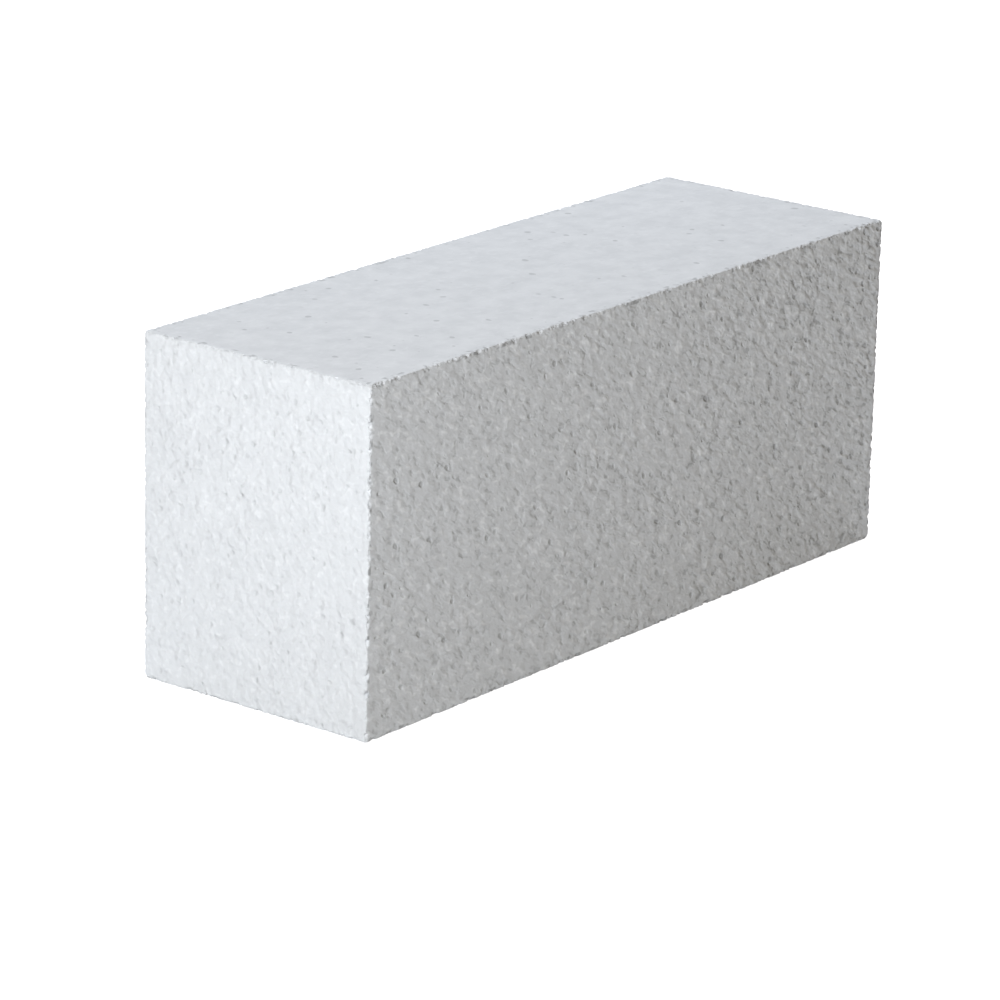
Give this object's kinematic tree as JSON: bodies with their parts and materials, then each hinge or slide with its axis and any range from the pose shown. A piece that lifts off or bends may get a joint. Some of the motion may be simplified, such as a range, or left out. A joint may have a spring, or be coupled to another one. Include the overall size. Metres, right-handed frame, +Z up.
{
  "type": "aerated concrete block",
  "caption": "Plain rectangular building block of pale aerated concrete, with flat faces, rubbed arrises and broken corners. It is laid on its long bed face in walls.",
  "frame": {"origin": "centre of the bottom bed face, at the base of the block", "axes": "+X along the block's length, +Y through its thickness, +Z up through its height"},
  "size_m": [0.6, 0.2, 0.25],
  "materials": {
    "aerated_concrete": "matte"
  },
  "bodies": {
    "root": {"concrete_block": "aerated_concrete"}
  },
  "joints": []
}
